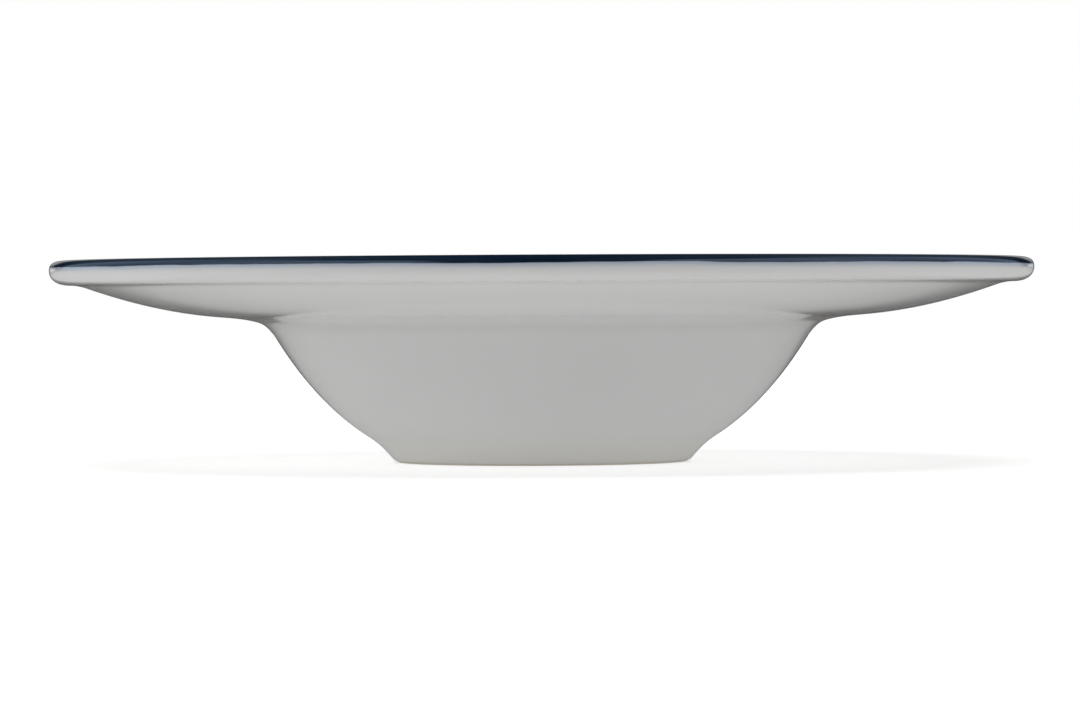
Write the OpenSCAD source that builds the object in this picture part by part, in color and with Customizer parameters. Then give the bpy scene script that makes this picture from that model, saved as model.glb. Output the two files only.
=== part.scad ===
// Rimmed soup plate with a rolled edge, a dark band on the edge and a wiped foot ring.
// The axis of turning is Z and the foot ring stands on z = 0. Sizes are millimetres, over the glaze.

/* [Overall size] */
// Diameter over the rolled edge
plate_d = 270; // [228:1:330]
// Height from the standing face to the crest of the edge
plate_h = 55.8; // [46:0.1:68]

/* [Rolled edge] */
// Thickness of the edge, from its crest down to its underside
edge_t = 6.8; // [5.5:0.1:8.4]
// How far the crest lies inside the outermost line
crest_in = 5; // [4:0.1:6.2]
// How far the outermost line lies below the crest
nose_drop = 2.8; // [2.2:0.1:3.5]
// How far the lowest part of the roll lies inside the outermost line
roll_in = 5.3; // [4.2:0.1:6.6]
// Width of the soft crease between the roll and the rim
crease_w = 5.1; // [4:0.1:6.4]
// How far the roll hangs below the rim's line across the crease
crease_h = 0.9; // [0.7:0.05:1.2]

/* [Rim] */
// Thickness of the rim
rim_t = 5.1; // [4:0.1:6.2]
// Underside diameter where the rim leaves the shoulder
rim_in_d = 179; // [170:1:208]
// How far the rim's underside lies there below the crest
rim_drop = 15.6; // [13:0.1:18]
// Slope of the rim's underside beside the shoulder, in degrees
rim_in_slope = 4.9; // [2:0.1:8]
// Slope of the rim's underside beside the rolled edge, in degrees
rim_out_slope = 19.5; // [14:0.1:25]

/* [Well] */
// Outside diameter of the well at the top of its wall
well_d = 146.2; // [124:0.2:160]
// How far the top of the wall lies below the crest
well_drop = 21.6; // [18.5:0.1:25]
// Slope of the wall at its top, in degrees
wall_top_slope = 58.5; // [50:0.5:68]
// Slope of the wall just above the foot, in degrees
wall_low_slope = 32.5; // [26:0.5:38]
// Width of the tight bend from the wall to the shoulder
shoulder_w = 4.9; // [4:0.1:6]
// Rise of that bend
shoulder_h = 4.4; // [3.6:0.1:5.2]
// Slope of the shoulder where that bend ends, in degrees
shoulder_slope = 16.3; // [12:0.1:22]
// Thickness of the wall
wall_t = 4.8; // [3.9:0.1:5.8]
// Thickness of the floor
floor_t = 5; // [4:0.1:6]
// Diameter of the flat middle of the floor
floor_d = 64; // [52:1:76]

/* [Foot] */
// Outer diameter of the standing face
foot_d = 78.4; // [66:0.2:92]
// Width of the standing face
foot_w = 2.8; // [2.2:0.1:3.6]
// Width of the rounded bare edge on each side of the standing face
bare_w = 1.4; // [1.1:0.1:1.8]
// Height up to which that edge stays bare
bare_h = 0.85; // [0.6:0.05:1.1]
// Steepness of the foot's sides at the end of the bare edge, in degrees
foot_slope = 50; // [42:1:58]
// Width of the flare from the standing face out to the wall
flare_w = 8.4; // [7:0.1:10]
// Height at which the flare passes into the wall
flare_h = 6.9; // [5.8:0.1:8.2]
// Depth of the recess inside the foot ring
recess_h = 2.2; // [1.7:0.1:2.8]
// Width of the fillet round the recess
recess_fillet_w = 2.6; // [2:0.1:3.4]

/* [Glaze] */
// Thickness of the glaze coats and of the band
glaze_t = 0.3; // [0.2:0.05:0.4]
// How far the band reaches down the outside of the edge, from the crest
band_drop = 2.05; // [1.6:0.05:2.5]
// How far the band reaches over the crest, to the food side
band_over = 1; // [0.6:0.1:1.6]

/* [Hidden] */
$fn = 180;
// Points along a short bend and along a long one
short_steps = 7;
long_steps = 13;
// Halvings in the search for a place on a bend
search_steps = 24;
// Fullness of the roll: share of its height and of its width that a bend's handles take up.
// 0.55 would be an ellipse, and more makes the roll squarer.
roll_top_share = 0.68;
roll_low_share = 0.56;
// The tight bend at the shoulder takes up at most these shares of the way out and up to the rim
shoulder_most_shares = [0.45, 0.75];

edge_r = plate_d / 2;
floor_z = recess_h + floor_t;
foot_r = foot_d / 2;
foot_in_r = foot_r - foot_w;

// A station is [radius, height, heading]. The outline runs outward along the underside, up round the
// roll and back inward over the food side, so the open air always lies on its right.
function air(s) = [sin(s[2]), -cos(s[2])];
function spot(s) = [s[0], s[1]];
function slope_of(a, b) = atan2(b[1] - a[1], b[0] - a[0]);
function shift(s, by) = [s[0] + by * air(s)[0], s[1] + by * air(s)[1], s[2]];

// The clay under a station of the finished surface
function clay(s) = shift(s, -glaze_t);
// The station across the wall from one on the underside, heading the other way
function across(s, t) = [s[0] - t * air(s)[0], s[1] - t * air(s)[1], s[2] + 180];

// Stations of the finished surface. Where the well and the rim come close together, the bend between
// them gets narrower and steeper, so that it always turns one way.
roll_low = [edge_r - roll_in, plate_h - edge_t, 0];
nose = [edge_r, plate_h - nose_drop, 90];
crest = [edge_r - crest_in, plate_h, 180];
rim_out = [edge_r - roll_in - crease_w, plate_h - edge_t - crease_h, rim_out_slope];
rim_in = [rim_in_d / 2, plate_h - rim_drop, rim_in_slope];
wall_spot = [well_d / 2, plate_h - well_drop];
shoulder_spot = [
    wall_spot[0] + min(shoulder_w, shoulder_most_shares[0] * (rim_in[0] - wall_spot[0])),
    wall_spot[1] + min(shoulder_h, shoulder_most_shares[1] * (rim_in[1] - wall_spot[1]))];
wall_top = concat(wall_spot, max(wall_top_slope, slope_of(wall_spot, shoulder_spot)));
shoulder = concat(shoulder_spot, max(shoulder_slope, slope_of(shoulder_spot, rim_in)));
wall_low = [foot_r + flare_w, flare_h, wall_low_slope];
floor_edge = [floor_d / 2, floor_z, 180];

// Stations of the foot, which is bare clay
stand_in = [foot_in_r, 0, 0];
stand_out = [foot_r, 0, 0];
bare_in = [foot_in_r - bare_w, bare_h, -foot_slope];
bare_out = [foot_r + bare_w, bare_h, foot_slope];
recess_edge = [bare_in[0] - recess_fillet_w, recess_h + glaze_t, 0];

// A bend is the four control points of a cubic curve between two stations. Its handles lie along the
// stations' headings, and with no lengths given a bend between like slopes is close to an arc.
function arc_pull(a, b) = norm(spot(b) - spot(a)) / (3 * pow(cos((b[2] - a[2]) / 4), 2));
function ahead(s, by) = [s[0] + by * cos(s[2]), s[1] + by * sin(s[2])];
function bend(a, b, pull_a, pull_b) =
    let (pa = is_undef(pull_a) ? arc_pull(a, b) : pull_a)
    let (pb = is_undef(pull_b) ? arc_pull(a, b) : pull_b)
    [spot(a), ahead(a, pa), ahead(b, -pb), spot(b)];

// The station at share t of a bend
function place(c, t) =
    let (u = 1 - t)
    let (p = pow(u, 3) * c[0] + 3 * u * u * t * c[1] + 3 * u * t * t * c[2] + pow(t, 3) * c[3])
    let (d = u * u * (c[1] - c[0]) + 2 * u * t * (c[2] - c[1]) + t * t * (c[3] - c[2]))
    [p[0], p[1], atan2(d[1], d[0])];

// The share of a bend at which a coordinate, 0 for radius and 1 for height, passes a value
function share_at(c, axis, value, low = 0, high = 1, left = search_steps) =
    let (mid = (low + high) / 2)
    let (before = (place(c, mid)[axis] < value) == (c[0][axis] < c[3][axis]))
    left == 0 ? mid : share_at(c, axis, value, before ? mid : low, before ? high : mid, left - 1);

// Stations along a bend, both ends among them
function trace(c, steps, from = 0, to = 1) =
    [for (i = [0:steps]) place(c, from + (to - from) * i / steps)];

// Several runs of stations as one, with each shared end kept once
function join(runs) =
    [for (i = [0:len(runs) - 1], j = [0:len(runs[i]) - 1])
        if (j > 0 || i == 0) runs[i][j]];

// The bends of the roll. The upper one and the one behind the crest carry the band's two edges. The
// clay lies about half the glaze's thickness below the coat where the lower edge is looked for.
roll_under = bend(clay(roll_low), clay(nose),
    roll_low_share * roll_in, roll_low_share * (edge_t - nose_drop));
roll_over = bend(clay(nose), clay(crest), roll_top_share * nose_drop, roll_top_share * crest_in);
crest_back = bend(clay(crest), clay(across(rim_out, rim_t)));
band_low_share = share_at(roll_over, 1, plate_h - band_drop - glaze_t / 2);
band_back_share = share_at(crest_back, 0, crest[0] - band_over);

// The clay's outline in five runs, from the axis below to the axis above
recess_run = join([
    [[0, recess_edge[1], 0], recess_edge],
    trace(bend(recess_edge, bare_in), short_steps)]);
foot_run = join([
    trace(bend(bare_in, stand_in), short_steps),
    [stand_in, stand_out],
    trace(bend(stand_out, bare_out), short_steps)]);
underside_run = join([
    trace(bend(bare_out, clay(wall_low)), short_steps),
    trace(bend(clay(wall_low), clay(wall_top)), long_steps),
    trace(bend(clay(wall_top), clay(shoulder)), short_steps),
    trace(bend(clay(shoulder), clay(rim_in)), short_steps),
    trace(bend(clay(rim_in), clay(rim_out)), long_steps),
    trace(bend(clay(rim_out), clay(roll_low)), short_steps),
    trace(roll_under, long_steps),
    trace(roll_over, short_steps, 0, band_low_share)]);
band_run = join([
    trace(roll_over, long_steps, band_low_share, 1),
    trace(crest_back, short_steps, 0, band_back_share)]);
upper_run = join([
    trace(crest_back, short_steps, band_back_share, 1),
    trace(bend(clay(across(rim_out, rim_t)), clay(across(rim_in, rim_t))), long_steps),
    trace(bend(clay(across(rim_in, rim_t)), clay(across(shoulder, rim_t))), short_steps),
    trace(bend(clay(across(shoulder, rim_t)), clay(across(wall_top, wall_t))), short_steps),
    trace(bend(clay(across(wall_top, wall_t)), clay(across(wall_low, wall_t))), long_steps),
    trace(bend(clay(across(wall_low, wall_t)), clay(floor_edge)), short_steps),
    [clay(floor_edge), [0, clay(floor_edge)[1], 180]]]);

// A closed outline turned once round the axis
module turned(outline) {
    rotate_extrude() polygon(outline);
}

// A coat of even thickness on one run of the clay
module coat(run) {
    last = len(run) - 1;
    under = [for (s = run) spot(s)];
    over = [for (i = [0:last]) spot(shift(run[last - i], glaze_t))];
    turned(concat(under, over));
}

// The fired clay, bare on the foot
module ceramic_body() {
    color("linen")
        turned([for (s = join([recess_run, foot_run, underside_run, band_run, upper_run])) spot(s)]);
}

// White glaze over the food side
module upper_glaze() {
    color("whitesmoke") coat(upper_run);
}

// Dark blue band on the top of the rolled edge
module rim_band() {
    color("midnightblue") coat(band_run);
}

// White glaze from the band round the roll and down to the bare foot
module underside_glaze() {
    color("gainsboro") coat(underside_run);
}

// White glaze in the recess inside the foot ring
module foot_recess_glaze() {
    color("lightgray") coat(recess_run);
}

ceramic_body();
upper_glaze();
rim_band();
underside_glaze();
foot_recess_glaze();
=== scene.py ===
"""A rimmed soup plate: white glaze over fired clay, a dark blue band on the rolled edge, a bare foot.

Every piece is one outline turned round Z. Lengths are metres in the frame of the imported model, and
the sizes below are the maker's own, written in millimetres times MM.
"""
import math

import bpy
import numpy as np
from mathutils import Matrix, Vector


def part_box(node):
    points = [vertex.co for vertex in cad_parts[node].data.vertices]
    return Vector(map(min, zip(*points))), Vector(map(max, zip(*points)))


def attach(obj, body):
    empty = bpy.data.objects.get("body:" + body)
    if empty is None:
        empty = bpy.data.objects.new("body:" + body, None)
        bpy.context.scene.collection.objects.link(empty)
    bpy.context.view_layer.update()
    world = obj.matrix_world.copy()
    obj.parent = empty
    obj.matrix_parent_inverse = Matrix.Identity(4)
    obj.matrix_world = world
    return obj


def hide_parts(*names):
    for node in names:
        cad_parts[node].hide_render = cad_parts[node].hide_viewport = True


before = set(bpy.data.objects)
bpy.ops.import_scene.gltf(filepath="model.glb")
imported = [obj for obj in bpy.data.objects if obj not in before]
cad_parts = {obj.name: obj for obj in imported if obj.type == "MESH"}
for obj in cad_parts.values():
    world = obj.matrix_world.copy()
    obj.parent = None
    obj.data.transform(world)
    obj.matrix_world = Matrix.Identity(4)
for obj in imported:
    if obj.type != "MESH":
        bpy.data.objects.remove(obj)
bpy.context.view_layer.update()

MM = 0.001

# The view: the photograph's frame in pixels, and where its camera stood
FRAME_WIDTH_PX = 1080
FRAME_HEIGHT_PX = 719
FOCAL_PX = 5200
HORIZON_PX = 302.7
SENSOR_WIDTH = 36
CAMERA_DISTANCE = 1431 * MM
CAMERA_HEIGHT = 43.7 * MM
CAMERA_ASIDE = -0.55 * MM
CAMERA_ROLL = math.radians(-0.28)

# Overall sizes, taken from the frame
EDGE_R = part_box("underside_glaze")[1].x
PLATE_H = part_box("rim_band")[1].z

# Rolled edge
EDGE_T = 6.8 * MM
CREST_IN = 5 * MM
NOSE_DROP = 2.8 * MM
ROLL_IN = 5.3 * MM
CREASE_W = 5.1 * MM
CREASE_H = 0.9 * MM
ROLL_TOP_SHARE = 0.68
ROLL_LOW_SHARE = 0.56

# Rim
RIM_T = 5.1 * MM
RIM_IN_R = 89.5 * MM
RIM_DROP = 15.6 * MM
RIM_IN_SLOPE = 4.9
RIM_OUT_SLOPE = 19.5

# Well
WELL_R = 73.1 * MM
WELL_DROP = 21.6 * MM
WALL_TOP_SLOPE = 58.5
WALL_LOW_SLOPE = 32.5
SHOULDER_W = 4.9 * MM
SHOULDER_H = 4.4 * MM
SHOULDER_SLOPE = 16.3
WALL_T = 4.8 * MM
FLOOR_R = 32 * MM

# Foot
FOOT_R = 39.2 * MM
FOOT_W = 2.8 * MM
BARE_W = 1.4 * MM
BARE_H = 0.85 * MM
FOOT_SLOPE = 50
FLARE_W = 8.4 * MM
FLARE_H = 6.9 * MM
RECESS_H = 2.2 * MM
RECESS_FILLET_W = 2.6 * MM
FLOOR_Z = 7.2 * MM

# Glaze
GLAZE_T = 0.3 * MM
BAND_DROP = 2.05 * MM
BAND_OVER = 1 * MM

# How finely the outlines are drawn
ROUND_STEPS = 360
SHOWN_TURN = 2.2
SHOWN_STEP = 1.6 * MM
HIDDEN_TURN = 9
HIDDEN_STEP = 6 * MM
END_SPOTS = 9
TRACE_SPOTS = 801
SEARCH_SPOTS = 4001
SHARP_TURN = 50
AXIS_R = 1e-9


# Outlines

def air(stations):
    """Unit vectors square to the headings, towards the open air on the right of the path."""
    heading = np.radians(stations[..., 2])
    return np.stack([np.sin(heading), -np.cos(heading)], axis=-1)


def shifted(stations, by):
    """The stations moved by a distance towards the open air, with their headings kept."""
    moved = np.array(stations, float)
    moved[..., :2] += by * air(moved)
    return moved


def clay(station):
    """The station on the clay below one of the finished surface."""
    return shifted(np.array(station, float), -GLAZE_T)


def across(station, thickness):
    """The station on the other face of the wall, heading the other way."""
    moved = shifted(np.array(station, float), -thickness)
    moved[2] += 180
    return moved


def bend(start, end, pull_start=None, pull_end=None):
    """Four control points of a cubic curve whose handles lie along the headings of its two ends.

    A handle with no length given is the chord over 3 cos^2 of a quarter of the turn, as for an arc.
    """
    start, end = np.array(start, float), np.array(end, float)
    turn = math.radians(end[2] - start[2])
    arc_pull = np.hypot(*(end - start)[:2]) / (3 * math.cos(turn / 4) ** 2)
    lengths = [arc_pull if pull is None else pull for pull in (pull_start, pull_end)]
    along = [np.array([math.cos(math.radians(s[2])), math.sin(math.radians(s[2]))])
             for s in (start, end)]
    return np.array([start[:2], start[:2] + lengths[0] * along[0],
                     end[:2] - lengths[1] * along[1], end[:2]])


def places(curve, shares):
    """Stations [radius, height, heading] at shares of a cubic curve, from its Bernstein form."""
    t = np.asarray(shares, float)[:, None]
    u = 1 - t
    spots = u**3 * curve[0] + 3 * u * u * t * curve[1] + 3 * u * t * t * curve[2] + t**3 * curve[3]
    way = u * u * (curve[1] - curve[0]) + 2 * u * t * (curve[2] - curve[1]) + t * t * (
        curve[3] - curve[2])
    return np.column_stack([spots, np.degrees(np.arctan2(way[:, 1], way[:, 0]))])


def share_at(curve, axis, value):
    """The share of a curve at which its radius (axis 0) or height (axis 1) passes a value."""
    shares = np.linspace(0, 1, SEARCH_SPOTS)
    heights = places(curve, shares)[:, axis]
    order = np.argsort(heights)
    return float(np.interp(value, heights[order], shares[order]))


def trace(curve, shown=True, start=0.0, end=1.0):
    """Stations along a curve, as close together as its bend and its length ask for."""
    fine_shares = np.linspace(start, end, TRACE_SPOTS)
    fine = places(curve, fine_shares)
    step = np.hypot(*np.diff(fine[:, :2], axis=0).T)
    turn = np.abs(np.diff(np.degrees(np.unwrap(np.radians(fine[:, 2])))))
    reach, most_turn = (SHOWN_STEP, SHOWN_TURN) if shown else (HIDDEN_STEP, HIDDEN_TURN)
    effort = np.concatenate([[0], np.cumsum(np.maximum(step / reach, turn / most_turn))])
    count = max(2, math.ceil(effort[-1]) + 1)
    shares = np.interp(np.linspace(0, effort[-1], count), effort, fine_shares)
    return places(curve, shares)


def joined(runs):
    """Runs of stations as one run, with each shared end kept once."""
    return np.vstack([run if i == 0 else run[1:] for i, run in enumerate(runs)])


# The stations of the finished surface and of the bare foot, as the solids have them
ROLL_LOW = [EDGE_R - ROLL_IN, PLATE_H - EDGE_T, 0]
NOSE = [EDGE_R, PLATE_H - NOSE_DROP, 90]
CREST = [EDGE_R - CREST_IN, PLATE_H, 180]
RIM_OUT = [EDGE_R - ROLL_IN - CREASE_W, PLATE_H - EDGE_T - CREASE_H, RIM_OUT_SLOPE]
RIM_IN = [RIM_IN_R, PLATE_H - RIM_DROP, RIM_IN_SLOPE]
WALL_TOP = [WELL_R, PLATE_H - WELL_DROP, WALL_TOP_SLOPE]
SHOULDER = [WELL_R + SHOULDER_W, WALL_TOP[1] + SHOULDER_H, SHOULDER_SLOPE]
WALL_LOW = [FOOT_R + FLARE_W, FLARE_H, WALL_LOW_SLOPE]
FLOOR_EDGE = [FLOOR_R, FLOOR_Z, 180]
STAND_IN = [FOOT_R - FOOT_W, 0, 0]
STAND_OUT = [FOOT_R, 0, 0]
BARE_IN = [FOOT_R - FOOT_W - BARE_W, BARE_H, -FOOT_SLOPE]
BARE_OUT = [FOOT_R + BARE_W, BARE_H, FOOT_SLOPE]
RECESS_EDGE = [BARE_IN[0] - RECESS_FILLET_W, RECESS_H + GLAZE_T, 0]

ROLL_UNDER = bend(clay(ROLL_LOW), clay(NOSE),
                  ROLL_LOW_SHARE * ROLL_IN, ROLL_LOW_SHARE * (EDGE_T - NOSE_DROP))
ROLL_OVER = bend(clay(NOSE), clay(CREST), ROLL_TOP_SHARE * NOSE_DROP, ROLL_TOP_SHARE * CREST_IN)
CREST_BACK = bend(clay(CREST), clay(across(RIM_OUT, RIM_T)))
BAND_LOW_SHARE = share_at(ROLL_OVER, 1, PLATE_H - BAND_DROP - GLAZE_T / 2)
BAND_BACK_SHARE = share_at(CREST_BACK, 0, CREST[0] - BAND_OVER)


def recess_run(shown=True):
    """The clay from the axis out under the recess to the inner wiped line."""
    ceiling = np.array([[0, RECESS_EDGE[1], 0], RECESS_EDGE], float)
    return joined([ceiling, trace(bend(RECESS_EDGE, BARE_IN), shown)])


def foot_run():
    """The bare clay from the inner wiped line over the standing face to the outer one."""
    return joined([trace(bend(BARE_IN, STAND_IN)), np.array([STAND_IN, STAND_OUT], float),
                   trace(bend(STAND_OUT, BARE_OUT))])


def underside_run(shown=True):
    """The clay from the outer wiped line up the well, out under the rim and round to the band."""
    stations = [BARE_OUT, clay(WALL_LOW), clay(WALL_TOP), clay(SHOULDER), clay(RIM_IN),
                clay(RIM_OUT), clay(ROLL_LOW)]
    bends = [bend(a, b) for a, b in zip(stations, stations[1:])] + [ROLL_UNDER]
    return joined([trace(c, shown) for c in bends] + [trace(ROLL_OVER, shown, 0, BAND_LOW_SHARE)])


def band_run(shown=True):
    """The clay from the band's lower edge over the crest to its edge on the food side."""
    return joined([trace(ROLL_OVER, shown, BAND_LOW_SHARE, 1),
                   trace(CREST_BACK, shown, 0, BAND_BACK_SHARE)])


def upper_run(shown=True):
    """The clay from the band down over the rim and the well to the axis."""
    stations = [clay(across(RIM_OUT, RIM_T)), clay(across(RIM_IN, RIM_T)),
                clay(across(SHOULDER, RIM_T)), clay(across(WALL_TOP, WALL_T)),
                clay(across(WALL_LOW, WALL_T)), clay(FLOOR_EDGE)]
    bends = [bend(a, b) for a, b in zip(stations, stations[1:])]
    floor = np.array([stations[-1], [0, stations[-1][1], 180]], float)
    return joined([trace(CREST_BACK, shown, BAND_BACK_SHARE, 1)]
                  + [trace(c, shown) for c in bends] + [floor])


def wiped_end(station, sign):
    """Spots of the glaze's rounded end: a half circle from the clay's face out to the coat's face.

    sign is -1 where the coat starts at the station and 1 where it ends there.
    """
    angle = np.linspace(0, math.pi, END_SPOTS)[1:-1, None]
    out, heading = air(station), math.radians(station[2])
    ahead = np.array([math.cos(heading), math.sin(heading)])
    half = GLAZE_T / 2
    return station[:2] + half * (1 - np.cos(angle)) * out + sign * half * np.sin(angle) * ahead


def coat_outline(shown, hidden, starts_wiped=False, ends_wiped=False):
    """A coat's closed outline: its face in the open air, then its face on the clay, backwards."""
    outer = shifted(shown, GLAZE_T)[:, :2]
    inner = hidden[::-1, :2]
    start = wiped_end(shown[0], -1) if starts_wiped else np.empty((0, 2))
    end = wiped_end(shown[-1], 1)[::-1] if ends_wiped else np.empty((0, 2))
    return np.vstack([outer, end, inner, start])


def turned(name, outline):
    """The outline turned once round Z: spots (r cos a, r sin a, z) on a grid of steps by points.

    A spot on the axis becomes one vertex, with a fan of triangles round it. The outline runs with
    the open air on its right, so the faces of the grid point outward.
    """
    angle = np.linspace(0, 2 * math.pi, ROUND_STEPS, endpoint=False)
    on_axis = outline[:, 0] < AXIS_R
    ring, pole = outline[~on_axis], outline[on_axis]
    around = np.stack([np.outer(np.cos(angle), ring[:, 0]), np.outer(np.sin(angle), ring[:, 0]),
                       np.broadcast_to(ring[:, 1], (ROUND_STEPS, len(ring)))], axis=-1)
    spots = np.vstack([around.reshape(-1, 3),
                       np.column_stack([np.zeros((len(pole), 2)), pole[:, 1]])])
    index = np.full((ROUND_STEPS, len(outline)), -1)
    index[:, ~on_axis] = np.arange(ROUND_STEPS * len(ring)).reshape(ROUND_STEPS, -1)
    index[:, on_axis] = ROUND_STEPS * len(ring) + np.arange(len(pole))
    next_step, next_spot = np.roll(index, -1, axis=0), np.roll(index, -1, axis=1)
    corners = np.stack([index, next_step, np.roll(next_step, -1, axis=1), next_spot], axis=-1)
    start_on, end_on = on_axis, np.roll(on_axis, -1)
    full = corners[:, ~(start_on | end_on)].reshape(-1, 4)
    from_pole = corners[:, start_on & ~end_on][..., [0, 2, 3]].reshape(-1, 3)
    to_pole = corners[:, ~start_on & end_on][..., [0, 1, 2]].reshape(-1, 3)
    mesh = bpy.data.meshes.new(name)
    mesh.from_pydata(spots.tolist(), [], full.tolist() + from_pole.tolist() + to_pole.tolist())
    mesh.validate()
    mesh.polygons.foreach_set("use_smooth", np.ones(len(mesh.polygons), bool))
    mesh.set_sharp_from_angle(angle=math.radians(SHARP_TURN))
    piece = bpy.data.objects.new(name, mesh)
    bpy.context.scene.collection.objects.link(piece)
    return piece


# Shader maths

class Value:
    """A socket that can be used in sums: each operator adds one Math node."""

    def __init__(self, graph, socket):
        self.graph = graph
        self.socket = socket

    def __add__(self, other):
        return self.graph.math("ADD", self, other)

    __radd__ = __add__

    def __sub__(self, other):
        return self.graph.math("SUBTRACT", self, other)

    def __rsub__(self, other):
        return self.graph.math("SUBTRACT", other, self)

    def __mul__(self, other):
        return self.graph.math("MULTIPLY", self, other)

    __rmul__ = __mul__

    def __truediv__(self, other):
        return self.graph.math("DIVIDE", self, other)

    def __rtruediv__(self, other):
        return self.graph.math("DIVIDE", other, self)

    def low_of(self, other):
        """The lower of the two."""
        return self.graph.math("MINIMUM", self, other)

    def high_of(self, other):
        """The higher of the two."""
        return self.graph.math("MAXIMUM", self, other)

    def size(self):
        """The value without its sign."""
        return self.graph.math("ABSOLUTE", self)

    def clamped(self):
        """The value, kept from 0 to 1."""
        return self.graph.math("ADD", self, 0, clamp=True)

    def step(self, low, high):
        """0 below low, 1 above high, and a smooth S between them."""
        share = ((self - low) / (high - low)).clamped()
        return share * share * (3 - 2 * share)

    def between(self, rise, fall):
        """1 between two smooth edges and 0 outside: each edge is a pair, its start and its end."""
        return self.step(*rise) * (1 - self.step(*fall))

    def bump_at(self, middle, width):
        """1 at the middle and falling smoothly to 0 over the width on both sides."""
        return 1 - ((self - middle) / width).size().step(0, 1)


class Graph:
    """The nodes of a material or of the world, which start empty."""

    def __init__(self, owner):
        owner.use_nodes = True
        self.tree = owner.node_tree
        self.tree.nodes.clear()

    def node(self, kind, settings=None, inputs=None):
        """A node of a type: its settings first, then the values or links of its sockets."""
        node = self.tree.nodes.new(kind)
        for name, value in (settings or {}).items():
            setattr(node, name, value)
        for name, value in (inputs or {}).items():
            source = value.socket if isinstance(value, Value) else value
            if isinstance(source, bpy.types.NodeSocket):
                self.tree.links.new(source, node.inputs[name])
            else:
                node.inputs[name].default_value = source
        return node

    def math(self, operation, *values, clamp=False):
        """One Math node on numbers and values."""
        node = self.node("ShaderNodeMath", {"operation": operation, "use_clamp": clamp},
                         dict(enumerate(values)))
        return Value(self, node.outputs[0])

    def axes(self, place):
        """The three parts of a vector as values."""
        parts = self.node("ShaderNodeSeparateXYZ", inputs={"Vector": place})
        return [Value(self, socket) for socket in parts.outputs]

    def place(self, kind):
        """The place or direction that a shader works at, as a vector."""
        return self.node("ShaderNodeTexCoord").outputs[kind]

    def mixed(self, share, first, second):
        """Two colours mixed by a share."""
        node = self.node("ShaderNodeMix", {"data_type": "RGBA"}, {0: share, 6: first, 7: second})
        return node.outputs[2]

    def rays(self):
        """Whether a ray is the camera's, a glossy surface's or a clear surface's, as 0 or 1."""
        path = self.node("ShaderNodeLightPath")
        return [Value(self, path.outputs[name])
                for name in ("Is Camera Ray", "Is Glossy Ray", "Is Transmission Ray")]


class Surface(Graph):
    """A new material with its places: object coordinates, radius and height as values."""

    def __init__(self, name):
        self.material = bpy.data.materials.new(name)
        super().__init__(self.material)
        self.spot = self.place("Object")
        self.x, self.y, self.z = self.axes(self.spot)
        self.r = self.math("SQRT", self.x * self.x + self.y * self.y)

    def noise(self, size, detail=2.0, roughness=0.5, where=None):
        """Noise from 0 to 1 whose spots are about the given size across."""
        node = self.node("ShaderNodeTexNoise", {"noise_dimensions": "3D"},
                         {"Scale": 1 / size, "Detail": detail, "Roughness": roughness,
                          "Vector": where or self.spot})
        return Value(self, node.outputs[0])

    def drawn_out(self, round_share):
        """Places pulled along the turning direction, so that noise on them makes streaks."""
        around = self.math("ARCTAN2", self.y, self.x) * (EDGE_R * round_share)
        parts = self.node("ShaderNodeCombineXYZ", inputs={"X": around, "Y": self.r, "Z": self.z})
        return parts.outputs[0]

    def finish(self, base, roughness, height, ior):
        """The Principled shader with its base, roughness, bump and index of refraction."""
        bump = self.node("ShaderNodeBump", inputs={"Strength": 1, "Distance": 1, "Height": height})
        shader = self.node("ShaderNodeBsdfPrincipled", inputs={
            "Base Color": base, "Roughness": roughness, "Normal": bump.outputs[0], "IOR": ior})
        self.node("ShaderNodeOutputMaterial", inputs={"Surface": shader.outputs[0]})
        return self.material


# Finishes

def colour(red, green, blue):
    """A linear colour from sRGB parts of 255, by the sRGB curve."""
    parts = np.array([red, green, blue]) / 255
    linear = np.where(parts <= 0.04045, parts / 12.92, ((parts + 0.055) / 1.055) ** 2.4)
    return (*map(float, linear), 1.0)


GLAZE_WHITE = colour(222, 222, 222)
GLAZE_POOLED = colour(209, 211, 209)
GLAZE_THIN = colour(219, 217, 209)
BAND_BLUE = colour(19, 41, 62)
BAND_DEEP = colour(11, 21, 33)
BAND_BLEED = colour(122, 148, 184)
BARE_CLAY = colour(212, 207, 198)
BARE_RUBBED = colour(156, 153, 147)
SPECK = colour(120, 104, 84)
GLAZE_IOR = 1.52
CLAY_IOR = 1.45

# How large the spots of each pattern are, and how far it is drawn out along the turning direction
WAVER_SIZE = 48 * MM
FRAY_SIZE = 1.6 * MM
FRAY_DRAWN = 0.12
MOTTLE_SIZE = 26 * MM
SHINE_SIZE = 9 * MM
RIPPLE_SIZE = 24 * MM
PEEL_SIZE = 2.4 * MM
RING_SIZE = 1.5 * MM
RING_DRAWN = 0.03
SPECK_CELL = 7 * MM
STREAK_SIZE = 0.9 * MM
STREAK_DRAWN = 0.05
LAYER_SIZE = 30 * MM
GRAIN_SIZE = 0.35 * MM
PIT_SIZE = 1.2 * MM
RUB_SIZE = 6 * MM

# How far each pattern moves the band's edge or the surface
WAVER = 0.9 * MM
FRAY = 0.3 * MM
RIPPLE_H = 0.03 * MM
PEEL_H = 0.0016 * MM
RING_H = 0.0012 * MM
GRAIN_H = 0.02 * MM
PIT_H = 0.015 * MM

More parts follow.
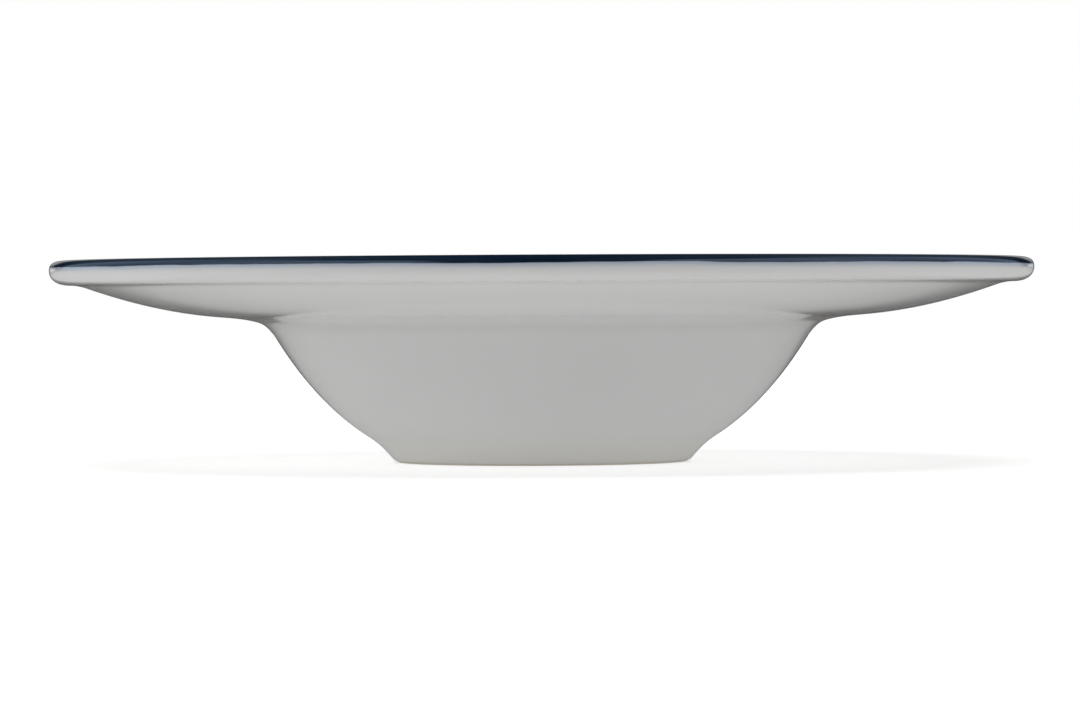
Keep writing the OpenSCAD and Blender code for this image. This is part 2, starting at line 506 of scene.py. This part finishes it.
# Where the finishes change: an edge is a pair, the start and the end of a smooth step
BAND_EDGE = (-0.14 * MM, 0.16 * MM)
BLEED_EDGE = (-2.2 * MM, 0.1 * MM)
CREST_EDGE = (CREST[0] - 1 * MM, CREST[0])
CREASE_R = 128 * MM
CREASE_POOL_W = 3.2 * MM
CREASE_LEVEL_W = 9 * MM
CREASE_LOW_EDGE = (46 * MM, 47.5 * MM)
CREASE_HIGH_EDGE = (50 * MM, 51.5 * MM)
SHOULDER_POOL_R = 76 * MM
SHOULDER_POOL_W = 6 * MM
SHOULDER_POOL_Z = 37.5 * MM
SHOULDER_POOL_H = 3.2 * MM
SHOULDER_LEVEL_R = 77 * MM
SHOULDER_LEVEL_W = 10 * MM
SHOULDER_LEVEL_EDGE = (30 * MM, 36 * MM)
FLOOR_POOL_R = 33 * MM
FLOOR_POOL_W = 14 * MM
FLOOR_POOL_Z = 7.6 * MM
FLOOR_POOL_H = 1.6 * MM
THIN_EDGE = (0.5 * MM, 14 * MM)
RUBBED_EDGE = (0.0, 0.12 * MM)
RUBBED_SPOTS = (0.42, 0.62)
SPECK_CHANCE = (0.86, 0.9)
SPECK_LEAST = 0.012
SPECK_SPREAD = 0.02
SPECK_EDGE = (0.5, 1.0)

# How much of each colour is mixed in
POOL_SHARE = 0.7
FLOOR_POOL_SHARE = 0.5
MOTTLE_SHARE = 0.35
GREY_SHARE = 0.1
THIN_SHARE = 0.55
SPECK_SHARE = 0.5
BLEED_SHARE = 0.55
STREAK_SHARE = 0.6
LAYER_SHARE = 0.6
DEEP_FROM = 0.1
RUBBED_SHARE = 0.45
GRAIN_SHARE = 0.4

# Roughness of each finish, and how much its patterns add or take off
GLAZE_ROUGH = 0.07
GLAZE_ROUGH_ADDED = 0.035
BAND_ROUGH = 0.06
BAND_ROUGH_ADDED = 0.03
CLAY_ROUGH = 0.72
GRAIN_ROUGH_ADDED = 0.15
RUBBED_ROUGH_OFF = 0.12


def band_shares(surface):
    """How far the surface is inside the band (0 to 1), and how far within its pale blue bleed."""
    waver = (surface.noise(WAVER_SIZE) - 0.5) * WAVER
    brushed = surface.drawn_out(FRAY_DRAWN)
    fray = (surface.noise(FRAY_SIZE, detail=3.0, roughness=0.6, where=brushed) - 0.5) * FRAY
    low = surface.z - (PLATE_H - BAND_DROP) - waver - fray
    back = surface.r - (CREST[0] - BAND_OVER) - waver - fray
    outside = surface.r.step(*CREST_EDGE)
    inward = back * (1 - outside) + outside
    reach = low.low_of(inward)
    bleed = reach.step(*BLEED_EDGE)
    return reach.step(*BAND_EDGE), bleed * bleed


def pooled(s):
    """Where the glaze pools: in the rolled edge's crease, on the shoulder and round the floor."""
    crease = (s.r.bump_at(CREASE_R, CREASE_POOL_W)
              * s.z.between(CREASE_LOW_EDGE, CREASE_HIGH_EDGE))
    shoulder = (s.r.bump_at(SHOULDER_POOL_R, SHOULDER_POOL_W)
                * s.z.bump_at(SHOULDER_POOL_Z, SHOULDER_POOL_H))
    floor = (s.r.bump_at(FLOOR_POOL_R, FLOOR_POOL_W) * s.z.bump_at(FLOOR_POOL_Z, FLOOR_POOL_H)
             * FLOOR_POOL_SHARE)
    return crease.high_of(shoulder).high_of(floor)


def white_glaze():
    """Glossy white glaze: greyer where it pools, warmer near the foot, pale blue beside the band."""
    s = Surface("white_glaze")
    low = 1 - s.z.step(*THIN_EDGE)
    mottle = s.noise(MOTTLE_SIZE, detail=3.0) - 0.5
    grey = pooled(s) * POOL_SHARE + mottle * MOTTLE_SHARE + GREY_SHARE
    base = s.mixed(grey, GLAZE_WHITE, GLAZE_POOLED)
    base = s.mixed(low * THIN_SHARE, base, GLAZE_THIN)
    base = s.mixed(specks(s) * SPECK_SHARE, base, SPECK)
    core, bleed = band_shares(s)
    base = s.mixed(bleed * BLEED_SHARE, base, BAND_BLEED)
    base = s.mixed(core, base, BAND_BLUE)
    roughness = GLAZE_ROUGH + s.noise(SHINE_SIZE) * GLAZE_ROUGH_ADDED
    return s.finish(base, roughness, glaze_height(s), GLAZE_IOR)


def specks(s):
    """Rare small iron specks: few of the cells are picked, and each has one round spot."""
    cells = s.node("ShaderNodeTexVoronoi", {"feature": "F1"},
                   {"Scale": 1 / SPECK_CELL, "Vector": s.spot})
    away = Value(s, cells.outputs["Distance"])
    chance, spread, _ = s.axes(cells.outputs["Color"])
    size = SPECK_LEAST + spread * SPECK_SPREAD
    return chance.step(*SPECK_CHANCE) * (1 - (away / size).step(*SPECK_EDGE))


def glaze_height(s):
    """Height of the glaze in metres: soft ripples, a fine orange peel and faint turning rings.

    The peel levels out under the rim near the edge and on the shoulder, which are seen edge-on.
    """
    crease = s.r.bump_at(CREASE_R, CREASE_LEVEL_W) * (1 - s.z.step(*CREASE_HIGH_EDGE))
    shoulder = s.r.bump_at(SHOULDER_LEVEL_R, SHOULDER_LEVEL_W) * s.z.step(*SHOULDER_LEVEL_EDGE)
    ripple = (s.noise(RIPPLE_SIZE, detail=1.0) - 0.5) * RIPPLE_H
    peel = (s.noise(PEEL_SIZE, detail=1.0) - 0.5) * PEEL_H * (1 - crease.high_of(shoulder))
    rings = (s.noise(RING_SIZE, detail=1.0, where=s.drawn_out(RING_DRAWN)) - 0.5) * RING_H
    return ripple + peel + rings


def blue_band():
    """Dark blue band: deeper where the brush laid more colour, with streaks round the edge."""
    s = Surface("blue_band")
    streak = s.noise(STREAK_SIZE, detail=3.0, roughness=0.6, where=s.drawn_out(STREAK_DRAWN))
    layer = s.noise(LAYER_SIZE)
    deep = (streak * STREAK_SHARE + layer * LAYER_SHARE - DEEP_FROM).clamped()
    core, bleed = band_shares(s)
    blue = s.mixed(deep, BAND_BLUE, BAND_DEEP)
    pale = s.mixed(bleed * BLEED_SHARE, GLAZE_WHITE, BAND_BLEED)
    roughness = BAND_ROUGH + s.noise(SHINE_SIZE) * BAND_ROUGH_ADDED
    return s.finish(s.mixed(core, pale, blue), roughness, glaze_height(s), GLAZE_IOR)


def bare_clay():
    """Bare fired clay: fine grain, rubbed grey where the foot slides on shelves."""
    s = Surface("bare_clay")
    grain = s.noise(GRAIN_SIZE, detail=4.0, roughness=0.7)
    rubbed = (1 - s.z.step(*RUBBED_EDGE)) * s.noise(RUB_SIZE, detail=3.0).step(*RUBBED_SPOTS)
    grey = rubbed * RUBBED_SHARE + (grain - 0.5) * GRAIN_SHARE
    base = s.mixed(grey, BARE_CLAY, BARE_RUBBED)
    roughness = CLAY_ROUGH + grain * GRAIN_ROUGH_ADDED - rubbed * RUBBED_ROUGH_OFF
    height = (grain - 0.5) * GRAIN_H + (s.noise(PIT_SIZE) - 0.5) * PIT_H
    return s.finish(base, roughness, height, CLAY_IOR)


# Pieces

def dress(piece, node, finish):
    """Puts a finish on a piece and lets it stand for its solid."""
    piece.data.materials.append(finish)
    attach(piece, "root")
    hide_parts(node)


def make_plate():
    """The clay as one whole outline, and the four coats that it wears."""
    white = white_glaze()
    whole = joined([recess_run(False), foot_run(), underside_run(False), band_run(False),
                    upper_run(False)])
    dress(turned("fired_clay", whole[:, :2]), "ceramic_body", bare_clay())
    dress(turned("glaze_over_the_food_side", coat_outline(upper_run(), upper_run(False))),
          "upper_glaze", white)
    dress(turned("blue_band_on_the_edge", coat_outline(band_run(), band_run(False))),
          "rim_band", blue_band())
    dress(turned("glaze_on_the_underside",
                 coat_outline(underside_run(), underside_run(False), starts_wiped=True)),
          "underside_glaze", white)
    dress(turned("glaze_in_the_foot_recess",
                 coat_outline(recess_run(), recess_run(False), ends_wiped=True)),
          "foot_recess_glaze", white)


# Studio

def make_camera():
    """The photograph's view: level with the rim's underside, looking slightly down."""
    data = bpy.data.cameras.new("camera")
    data.sensor_fit = "HORIZONTAL"
    data.sensor_width = SENSOR_WIDTH
    data.lens = SENSOR_WIDTH * FOCAL_PX / FRAME_WIDTH_PX
    camera = bpy.data.objects.new("camera", data)
    tilt = math.atan((FRAME_HEIGHT_PX / 2 - HORIZON_PX) / FOCAL_PX)
    camera.rotation_mode = "XYZ"
    camera.rotation_euler = (math.pi / 2 - tilt, 0, 0)
    camera.rotation_euler.rotate_axis("Z", CAMERA_ROLL)
    camera.location = (CAMERA_ASIDE, -CAMERA_DISTANCE, CAMERA_HEIGHT)
    bpy.context.scene.collection.objects.link(camera)
    bpy.context.scene.camera = camera


# Light levels: what the tent and the table give as light, and the table's white to the camera
WHITE = (1.0, 1.0, 1.0, 1.0)
TENT_LOW = 0.03
TENT_HIGH = 0.60
TABLE_GLOW = 0.225
UNDER_GLOW = 0.145
UNDER_GLOW_EDGE = (50 * MM, 150 * MM)
TABLE_COLOUR = colour(232, 232, 231)
TABLE_HALF = 6.0
TABLE_GAP = 0.05 * MM
TABLE_WHITE_NEAR = 0.24
TABLE_WHITE_FAR = 0.7
TABLE_WHITE_EDGE = (0.2, 1.5)
# A painted contact shadow: the table's glow is dimmed by CONTACT_DARK in a ring about CONTACT_W wide
# just outside the foot.
CONTACT_W = 1.2 * MM
CONTACT_DARK = 0.3

# Soft boxes: name, place, what it faces, width and height, and the brightness of its cloth
SOFT_BOXES = (
    ("soft_box_above", (0, 0.2, 1.6), (0, 0, 0), (1.4, 1.2), 1.9),
    ("soft_box_on_the_left", (-1.1, 0.05, 0.55), (0, 0, 0.05), (2.2, 1.3), 0.66),
    ("soft_box_on_the_right", (1.1, 0.15, 0.55), (0, 0, 0.05), (1.7, 1.3), 0.44))

# What the glaze mirrors: how bright the panels, the dark cards and the table are in it
ROOM_SEEN = 0.02
COOL_PANEL = (0.62, 0.8, 1.08, 1.0)
WARM_DARK = (1.0, 0.8, 0.72, 1.0)
PANEL_LOW_SEEN = 0.5
PANEL_HIGH_SEEN = 1.5
PANEL_BACK_SHARE = 0.45
BACKDROP_SEEN = 0.42
CEILING_SEEN = 0.12
PATCH_SEEN = 0.65
PURE_WHITE_GAIN = 3
TABLE_SEEN = 0.5
TABLE_ASIDE_SEEN = 0.5
TABLE_SEEN_EDGE = (50 * MM, 240 * MM)
TABLE_ASIDE_EDGE = (0.17, 0.27)

# Where they lie, by the direction from the plate. Low, middle and high edges go by its height, side
# edges by its turn from straight behind, aside edges by how far it points to a side, and the fade
# by how far it points behind.
LEAST_AHEAD = 0.01
BACKDROP_LOW_EDGE = (0.0, 0.12)
BACKDROP_HIGH_EDGE = (0.14, 0.22)
BACKDROP_SIDE_EDGE = (0.24, 0.34)
PATCH_LOW_EDGE = (-0.06, -0.02)
PATCH_HIGH_EDGE = (0.01, 0.07)
PATCH_NEAR_SIDE_EDGE = (0.22, 0.26)
PATCH_FAR_SIDE_EDGE = (0.42, 0.46)
PANEL_LOW_EDGE = (-0.06, 0.02)
PANEL_MIDDLE_EDGE = (0.36, 0.54)
PANEL_HIGH_EDGE = (0.8, 0.92)
PANEL_SIDE_EDGE = (0.57, 0.67)
PANEL_ASIDE_EDGE = (0.31, 0.43)
PANEL_FADE_EDGE = (-0.2, 0.35)
CEILING_LOW_EDGE = (0.2, 0.5)
CEILING_ASIDE_EDGE = (0.06, 0.22)


def mirrored_room(x, y, z):
    """How bright the room is that the glaze mirrors, by direction, and its part that is pure white.

    Low behind the plate is a strip of backdrop with a brighter patch to either side. White panels
    stand on the left and right, brightest high up and towards the camera, under a dim ceiling.
    Dark cards fill the rest: over the plate, behind the camera and beside the backdrop.
    """
    aside = x.size()
    turn = aside / y.high_of(LEAST_AHEAD)
    backdrop = (z.between(BACKDROP_LOW_EDGE, BACKDROP_HIGH_EDGE)
                * (1 - turn.step(*BACKDROP_SIDE_EDGE)))
    patch = (turn.between(PATCH_NEAR_SIDE_EDGE, PATCH_FAR_SIDE_EDGE)
             * z.between(PATCH_LOW_EDGE, PATCH_HIGH_EDGE))
    panel = turn.step(*PANEL_SIDE_EDGE) * aside.step(*PANEL_ASIDE_EDGE)
    low_panel = panel * z.between(PANEL_LOW_EDGE, PANEL_MIDDLE_EDGE)
    high_panel = panel * z.between(PANEL_MIDDLE_EDGE, PANEL_HIGH_EDGE)
    high_panel = high_panel * (1 - y.step(*PANEL_FADE_EDGE) * (1 - PANEL_BACK_SHARE))
    ceiling = aside.step(*CEILING_ASIDE_EDGE) * z.step(*CEILING_LOW_EDGE) * (1 - panel)
    white = backdrop * BACKDROP_SEEN + patch * PATCH_SEEN
    cool = low_panel * PANEL_LOW_SEEN + high_panel * PANEL_HIGH_SEEN + ceiling * CEILING_SEEN
    return ROOM_SEEN + white + cool, white


def make_world():
    """A white tent as light, brighter above, and a white room to the camera.

    In the glaze the same white is broken by dark cards, which draw the plate's dark outline.
    """
    world = bpy.data.worlds.new("studio")
    bpy.context.scene.world = world
    g = Graph(world)
    camera, glossy, clear = g.rays()
    x, y, z = g.axes(g.place("Generated"))
    mirrored, white = mirrored_room(x, y, z)
    tent = z.clamped() * (TENT_HIGH - TENT_LOW) + TENT_LOW
    seen = camera.high_of(clear)
    light = tent * (1 - seen) * (1 - glossy) + glossy * mirrored + seen
    cool = 1 - (white * PURE_WHITE_GAIN).clamped()
    tint = g.mixed(glossy * cool, WHITE, COOL_PANEL)
    sky = g.node("ShaderNodeBackground", inputs={"Color": tint, "Strength": light})
    g.node("ShaderNodeOutputWorld", inputs={"Surface": sky.outputs[0]})


def table_finish():
    """White that glows a little, keeps the plate's shadow and is see-through from below.

    It glows more under the plate, and less just beside the foot, where a painted contact shadow
    gives the foot a thin dark line. The glaze sees it near the plate and off to both sides, and a
    dark card straight behind.
    """
    s = Surface("table")
    camera, glossy, clear = s.rays()
    near = 1 - s.r.step(*TABLE_SEEN_EDGE)
    beside = ((s.x.size() - EDGE_R) / s.y.high_of(LEAST_AHEAD)).step(*TABLE_ASIDE_EDGE)
    shown = (near * TABLE_SEEN).high_of(beside * TABLE_ASIDE_SEEN)
    # Painted contact shadow: less glow in a thin ring just outside the foot.
    painted_contact_shadow_factor = 1 - s.r.bump_at(FOOT_R + CONTACT_W, CONTACT_W) * CONTACT_DARK
    glow = TABLE_GLOW + (1 - s.r.step(*UNDER_GLOW_EDGE)) * UNDER_GLOW
    white = TABLE_WHITE_NEAR + s.r.step(*TABLE_WHITE_EDGE) * (TABLE_WHITE_FAR - TABLE_WHITE_NEAR)
    glowing = painted_contact_shadow_factor * glow + camera.high_of(clear) * white
    matte = s.node("ShaderNodeBsdfDiffuse", inputs={"Color": TABLE_COLOUR})
    light = s.node("ShaderNodeEmission", inputs={"Color": WHITE, "Strength": glowing})
    lit = s.node("ShaderNodeAddShader", inputs={0: matte.outputs[0], 1: light.outputs[0]})
    dark = s.node("ShaderNodeEmission", inputs={"Color": WARM_DARK, "Strength": ROOM_SEEN})
    top = s.node("ShaderNodeMixShader", inputs={
        0: glossy * (1 - shown), 1: lit.outputs[0], 2: dark.outputs[0]})
    below = Value(s, s.node("ShaderNodeNewGeometry").outputs["Backfacing"])
    clear_side = s.node("ShaderNodeBsdfTransparent")
    both = s.node("ShaderNodeMixShader", inputs={
        0: camera * below, 1: top.outputs[0], 2: clear_side.outputs[0]})
    s.node("ShaderNodeOutputMaterial", inputs={"Surface": both.outputs[0]})
    return s.material


def make_table():
    """A flat white table, a hair below the foot."""
    mesh = bpy.data.meshes.new("table")
    h, z = TABLE_HALF, -TABLE_GAP
    mesh.from_pydata([(-h, -h, z), (h, -h, z), (h, h, z), (-h, h, z)], [], [(0, 1, 2, 3)])
    mesh.materials.append(table_finish())
    table = bpy.data.objects.new("table", mesh)
    bpy.context.scene.collection.objects.link(table)


def soft_box(name, spot, towards, size, level):
    """A soft box at a spot, facing another, whose cloth is as bright as its level."""
    data = bpy.data.lights.new(name, "AREA")
    data.shape = "RECTANGLE"
    data.size, data.size_y = size
    data.energy = level * math.pi * size[0] * size[1]
    light = bpy.data.objects.new(name, data)
    way = np.array(towards, float) - np.array(spot, float)
    way /= np.linalg.norm(way)
    light.rotation_mode = "XYZ"
    light.rotation_euler = (math.acos(-way[2]), 0, math.atan2(-way[0], way[1]))
    light.location = spot
    light.visible_camera = False
    light.visible_glossy = False
    bpy.context.scene.collection.objects.link(light)


make_camera()
make_world()
make_table()
for box in SOFT_BOXES:
    soft_box(*box)
make_plate()

bpy.context.scene.view_settings.view_transform = "Standard"
